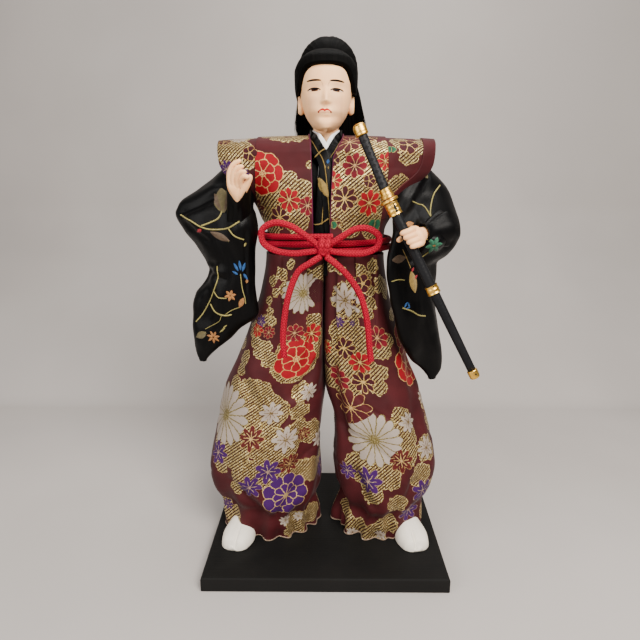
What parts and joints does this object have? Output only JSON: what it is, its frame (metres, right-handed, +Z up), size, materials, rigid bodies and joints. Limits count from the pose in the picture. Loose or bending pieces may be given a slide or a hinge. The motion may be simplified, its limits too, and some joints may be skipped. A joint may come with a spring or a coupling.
{
  "type": "samurai doll",
  "caption": "Standing samurai doll on a black board, in brocade vest and trousers over a black kimono, with a red waist cord and a sword that draws from its scabbard.",
  "frame": {"origin": "middle of the board's underside", "axes": "+Z up along the figure, -Y the way it faces, +X to the doll's own left"},
  "size_m": [0.1653, 0.115, 0.3077],
  "materials": {
    "board_paint": "matte black paint",
    "brocade": "woven brocade of maroon, gold, red, white and purple",
    "black_satin": "black satin with vines and flowers",
    "white_satin": "satin",
    "red_cord": "knitted",
    "skin": "satin",
    "face": "satin with painted features",
    "hair": "combed silk fibre",
    "sock": "plain",
    "stuffing": "coarse wadding",
    "wire": "drawn wire",
    "peg": "bare",
    "gold": "satin gold",
    "grip": "dark wrapped",
    "lacquer": "dark grey, semi-matte",
    "steel": "polished"
  },
  "bodies": {
    "doll": {"board": "board_paint", "body_core": "stuffing", "neck_peg": "peg", "kimono_body": "black_satin", "under_collar": "white_satin", "kimono_collar": "black_satin", "vest_back": "brocade", "hand_right": "skin", "hand_left": "skin", "waist_cord": "red_cord", "bow_knot": "red_cord", "foot_right": "sock", "leg_wire_right": "wire", "arm_wire_right": "wire", "leg_stuffing_right": "stuffing", "trouser_leg_right": "brocade", "vest_front_right": "brocade", "kimono_sleeve_right": "black_satin", "bow_loop_right": "red_cord", "cord_tail_right": "red_cord", "foot_left": "sock", "leg_wire_left": "wire", "arm_wire_left": "wire", "leg_stuffing_left": "stuffing", "trouser_leg_left": "brocade", "vest_front_left": "brocade", "kimono_sleeve_left": "black_satin", "bow_loop_left": "red_cord", "cord_tail_left": "red_cord"},
    "head": {"head": "face", "hair_cap": "hair", "hair_crown": "hair", "hair_tie": "hair", "hair_long": "hair"},
    "scabbard": {"scabbard": "lacquer", "scabbard_mouth_ring": "gold", "scabbard_ring": "gold", "scabbard_tip": "gold"},
    "sword": {"sword_blade": "steel", "blade_collar": "gold", "sword_guard": "gold", "grip_collar": "gold", "sword_grip": "grip", "pommel_cap": "gold"}
  },
  "joints": [
    {"name": "head_turn", "type": "hinge", "parent": "doll", "child": "head", "pos_m": [0, 0, 0.25], "axis": [0, 0, 1], "range_deg": [-15, 15]},
    {"name": "scabbard_slide", "type": "slide", "parent": "doll", "child": "scabbard", "axis": [-0.4623, 0.0648, 0.8843], "range_m": [-0.006, 0.018]},
    {"name": "sword_draw", "type": "slide", "parent": "scabbard", "child": "sword", "axis": [-0.4623, 0.0648, 0.8843], "range_m": [0, 0.07]}
  ]
}
